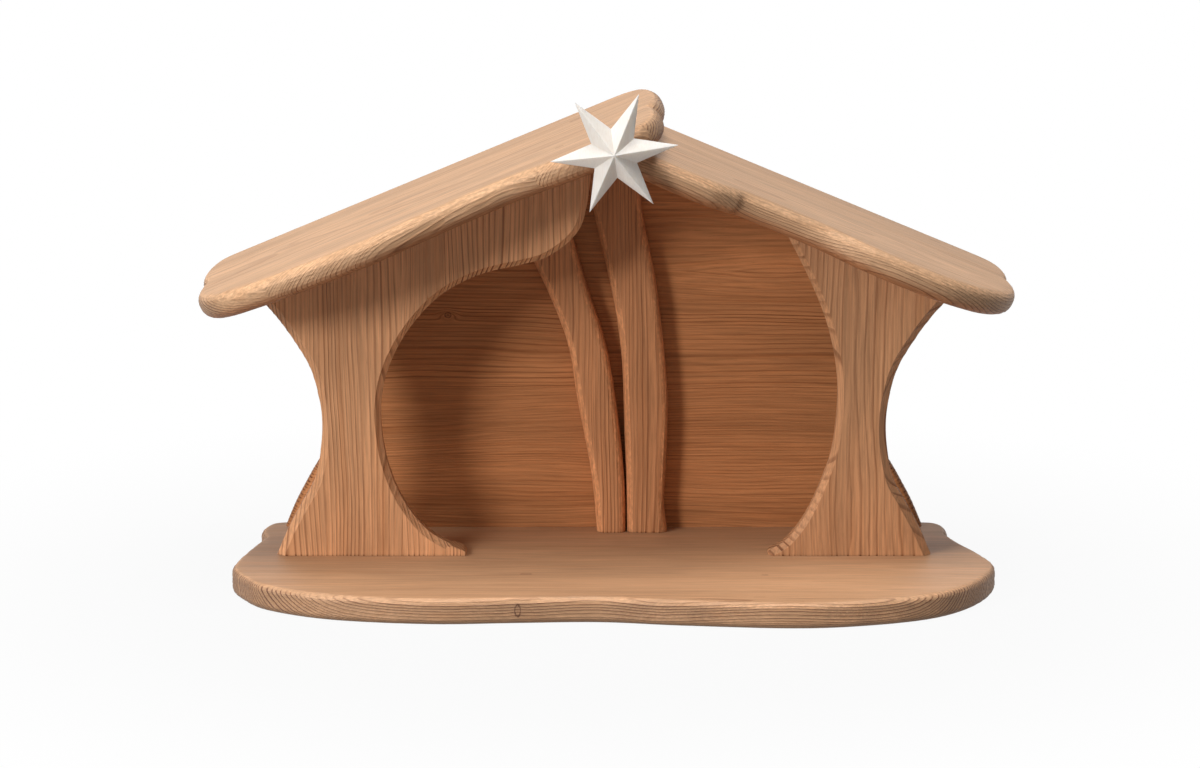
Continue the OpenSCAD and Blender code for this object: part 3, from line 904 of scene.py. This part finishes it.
class STABLE_OT_back_wall(Operator):
    """Finish the two boards of the back wall, with level grain"""
    bl_idname = "stable.back_wall"
    bl_label = "Back Wall"

    def execute(self, context):
        wood = context.scene.stable.wood
        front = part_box("back_wall_left")[0].y
        knots = [Knot((-0.0735, front, 0.1146), Y, 0.0016, 0.0014, dark=0.8)]
        material = larch("wall_larch", wood, wood.wall_tint, WALL_GLOSS, knots)
        staves = [Stave(0, 0.16, 0.05, 0.0016, 0.5, 0.36),
                  Stave(0.36, 0.15, 0.09, 0.0021, 0.47, 0.5),
                  Stave(0.68, -0.09, 0.12, 0.0024, 0.53, 0.3)]
        for node, seed, own in (("back_wall_left", 41, knots), ("back_wall_right", 43, ())):
            board = Board(node, X, -Y, staves, lambda is_front, middle: wood.outer_round,
                          wood.relief, WALL_STEPS, seed, own)
            finished_board(board, material)
        return {"FINISHED"}


class STABLE_OT_posts(Operator):
    """Finish the two leaning posts before the back wall"""
    bl_idname = "stable.posts"
    bl_label = "Posts"

    def execute(self, context):
        wood = context.scene.stable.wood
        material = larch("post_larch", wood, wood.post_tint, POST_GLOSS)
        staves = {"left_post": [Stave(0, 0.12, 0.07, 0.0022, 0.55, 0.6)],
                  "right_post": [Stave(0, -0.1, 0.06, 0.0019, 0.5, 0.5)]}

        def rounding(is_front, middle):
            return wood.post_round if is_front else wood.post_round * POST_BACK_SHARE

        for node, seed in (("left_post", 53), ("right_post", 59)):
            board = Board(node, Z, -Y, staves[node], rounding, wood.relief, POST_STEPS, seed)
            finished_board(board, material)
        return {"FINISHED"}


class STABLE_OT_roof_boards(Operator):
    """Finish the two roof boards, with soft edges and rings that show on them"""
    bl_idname = "stable.roof_boards"
    bl_label = "Roof Boards"

    def execute(self, context):
        wood = context.scene.stable.wood
        flecks = [Knot(place, Z, half_w, half_h, dark, bends=False)
                  for place, half_w, half_h, dark in ROOF_FLECKS]
        material = larch("roof_larch", wood, wood.roof_tint, ROOF_GLOSS, flecks,
                         ROOF_PAINTED_UNDER_SHADE, ROOF_END_GRAIN)
        left = [Stave(0, 0.03, 0.055, 0.00105, 0.5, 0.3, slope=0.25),
                Stave(0.06, 0, -0.09, 0.0015, 0.5, 0.22)]
        right = [Stave(0, -0.02, 0.07, 0.0014, 0.5, 0.3)]
        for node, side, staves, seed in (("roof_board_left", -1, left, 61),
                                         ("roof_board_right", 1, right, 67)):
            face = slope_normal(side)
            board = Board(node, Y.cross(face), face, staves,
                          lambda is_front, middle: wood.roof_round, relief=0,
                          steps=ROOF_STEPS, seed=seed, edge_contrast=ROOF_EDGE_CONTRAST,
                          edge_relief=wood.edge_relief)
            finished_board(board, material)
        return {"FINISHED"}


class STABLE_OT_star(Operator):
    """Finish the star, with softened ridges"""
    bl_idname = "stable.star"
    bl_label = "Star"

    def execute(self, context):
        star = context.scene.stable.star
        mesh = copied("star")
        ridges = [e for e in mesh.edges
                  if e.calc_length() > RIDGE_FROM and e.calc_face_angle(0) > RIDGE_ANGLE]
        bmesh.ops.bevel(mesh, geom=ridges, offset=star.soften, offset_type="OFFSET",
                        segments=2, profile=0.5, affect="EDGES", clamp_overlap=True,
                        material=-1)
        for face in mesh.faces:
            face.smooth = False
        data = bpy.data.meshes.new("bleached_star")
        mesh.to_mesh(data)
        mesh.free()
        placed(data, "star", bleached_wood("star_bleached", star), "star")
        return {"FINISHED"}


class STABLE_OT_fittings(Operator):
    """Finish the pin, the screws and the dowels"""
    bl_idname = "stable.fittings"
    bl_label = "Fittings"

    def execute(self, context):
        fittings = context.scene.stable.fittings
        recoat("star_pin", metal("pin_bright", fittings.steel, fittings.steel_dull,
                                 PIN_ROUGHNESS))
        screws = metal("screw_yellow", fittings.brass, fittings.brass_dull, SCREW_ROUGHNESS)
        for node in ("base_screws", "post_screws"):
            recoat(node, screws)
        beech = dowel_wood("dowel_beech", fittings)
        for node in ("front_roof_dowels", "back_roof_dowels", "ridge_dowels"):
            recoat(node, beech)
        return {"FINISHED"}


class STABLE_OT_camera(Operator):
    """Set up the camera at the picture's viewing angle"""
    bl_idname = "stable.camera"
    bl_label = "Camera"

    def execute(self, context):
        stage = context.scene.stable.stage
        data = bpy.data.cameras.new("view")
        data.sensor_fit = "HORIZONTAL"
        data.lens = data.sensor_width * stage.lens_px / FRAME_W
        data.shift_x = (FRAME_W / 2 - stage.middle_px) / FRAME_W
        camera = bpy.data.objects.new("view", data)
        camera.location = (0, -stage.camera_away, stage.camera_up)
        camera.rotation_euler = (math.radians(90) - stage.camera_dip, 0, 0)
        context.scene.collection.objects.link(camera)
        context.scene.camera = camera
        return {"FINISHED"}


class STABLE_OT_stage(Operator):
    """Set up the floor, the lamps and the room's light"""
    bl_idname = "stable.stage"
    bl_label = "Stage"

    def execute(self, context):
        stage = context.scene.stable.stage
        context.scene.view_settings.view_transform = "Standard"
        self.lay_floor(stage)
        for name, azimuth, elevation, size in LAMPS:
            self.hang(name, getattr(stage, name), azimuth, elevation, size)
        self.light_room(context, stage)
        return {"FINISHED"}

    def lay_floor(self, stage):
        mesh = bmesh.new()
        bmesh.ops.create_grid(mesh, x_segments=1, y_segments=1, size=FLOOR_HALF)
        data = bpy.data.meshes.new("floor")
        mesh.to_mesh(data)
        mesh.free()
        floor = bpy.data.objects.new("floor", data)
        bpy.context.scene.collection.objects.link(floor)
        paint = bpy.data.materials.new("floor_paint")
        paint.use_nodes = True
        tree = paint.node_tree
        tree.nodes.clear()
        diffuse = tree.nodes.new("ShaderNodeBsdfDiffuse")
        diffuse.inputs["Color"].default_value = opaque(stage.floor)
        glow = tree.nodes.new("ShaderNodeEmission")
        mixed = tree.nodes.new("ShaderNodeMixShader")
        own = tree.nodes.new("ShaderNodeTexCoord")
        away = tree.nodes.new("ShaderNodeVectorMath")
        away.operation = "LENGTH"
        tree.links.new(own.outputs["Object"], away.inputs[0])
        fade = tree.nodes.new("ShaderNodeMapRange")
        fade.interpolation_type = "SMOOTHSTEP"
        for socket, value in zip(fade.inputs, (0, *FLOOR_FADE, FLOOR_GLOW, 1)):
            socket.default_value = value
        tree.links.new(away.outputs["Value"], fade.inputs[0])
        seen = tree.nodes.new("ShaderNodeMath")
        seen.operation = "MULTIPLY"
        tree.links.new(seen_by_eye(tree), seen.inputs[0])
        tree.links.new(fade.outputs[0], seen.inputs[1])
        tree.links.new(seen.outputs[0], mixed.inputs[0])
        tree.links.new(diffuse.outputs[0], mixed.inputs[1])
        tree.links.new(glow.outputs[0], mixed.inputs[2])
        out = tree.nodes.new("ShaderNodeOutputMaterial")
        tree.links.new(mixed.outputs[0], out.inputs[0])
        data.materials.append(paint)

    def hang(self, name, power, azimuth, elevation, size):
        azimuth, elevation = math.radians(azimuth), math.radians(elevation)
        data = bpy.data.lights.new(name, "AREA")
        data.shape = "DISK"
        data.size = size
        data.energy = power
        lamp = bpy.data.objects.new(name, data)
        level = math.cos(elevation)
        way = Vector((math.sin(azimuth) * level, -math.cos(azimuth) * level, math.sin(elevation)))
        lamp.location = LAMP_AIM + way * LAMP_AWAY
        lamp.rotation_euler = way.to_track_quat("Z", "Y").to_euler()
        bpy.context.scene.collection.objects.link(lamp)

    def light_room(self, context, stage):
        world = bpy.data.worlds.new("room")
        context.scene.world = world
        world.use_nodes = True
        tree = world.node_tree
        tree.nodes.clear()
        mixed = tree.nodes.new("ShaderNodeMixShader")
        tree.links.new(seen_by_eye(tree), mixed.inputs[0])
        for strength, socket in ((stage.ambient, mixed.inputs[1]), (1.0, mixed.inputs[2])):
            background = tree.nodes.new("ShaderNodeBackground")
            background.inputs["Color"].default_value = (1, 1, 1, 1)
            background.inputs["Strength"].default_value = strength
            tree.links.new(background.outputs[0], socket)
        out = tree.nodes.new("ShaderNodeOutputWorld")
        tree.links.new(mixed.outputs[0], out.inputs[0])


def seen_by_eye(tree):
    """1 for rays from the camera, or from gloss or glass, and 0 for those that carry light."""
    path = tree.nodes.new("ShaderNodeLightPath")
    total = path.outputs["Is Camera Ray"]
    for kind in ("Is Glossy Ray", "Is Transmission Ray"):
        both = tree.nodes.new("ShaderNodeMath")
        both.operation = "MAXIMUM"
        tree.links.new(total, both.inputs[0])
        tree.links.new(path.outputs[kind], both.inputs[1])
        total = both.outputs[0]
    return total


PIECES = (STABLE_OT_camera, STABLE_OT_base_board, STABLE_OT_front_panels, STABLE_OT_back_wall,
          STABLE_OT_posts, STABLE_OT_roof_boards, STABLE_OT_star, STABLE_OT_fittings,
          STABLE_OT_stage)


class STABLE_PT_finish(Panel):
    """Lists the stable's pieces in the sidebar"""
    bl_label = "Nativity Stable"
    bl_idname = "STABLE_PT_finish"
    bl_space_type = "VIEW_3D"
    bl_region_type = "UI"
    bl_category = "Stable"

    def draw(self, context):
        settings = context.scene.stable
        for group in (settings.wood, settings.star, settings.fittings, settings.stage):
            box = self.layout.box()
            for name in type(group).__annotations__:
                box.prop(group, name)
        for piece in PIECES:
            self.layout.operator(piece.bl_idname)


CLASSES = (WoodSettings, StarSettings, FittingSettings, StageSettings, StableSettings,
           *PIECES, STABLE_PT_finish)


def register():
    for cls in CLASSES:
        bpy.utils.register_class(cls)
    bpy.types.Scene.stable = PointerProperty(type=StableSettings)


def unregister():
    del bpy.types.Scene.stable
    for cls in reversed(CLASSES):
        bpy.utils.unregister_class(cls)


def main():
    register()
    bpy.ops.stable.camera()
    bpy.ops.stable.base_board()
    bpy.ops.stable.front_panels()
    bpy.ops.stable.back_wall()
    bpy.ops.stable.posts()
    bpy.ops.stable.roof_boards()
    bpy.ops.stable.star()
    bpy.ops.stable.fittings()
    bpy.ops.stable.stage()


if __name__ == "__main__":
    main()
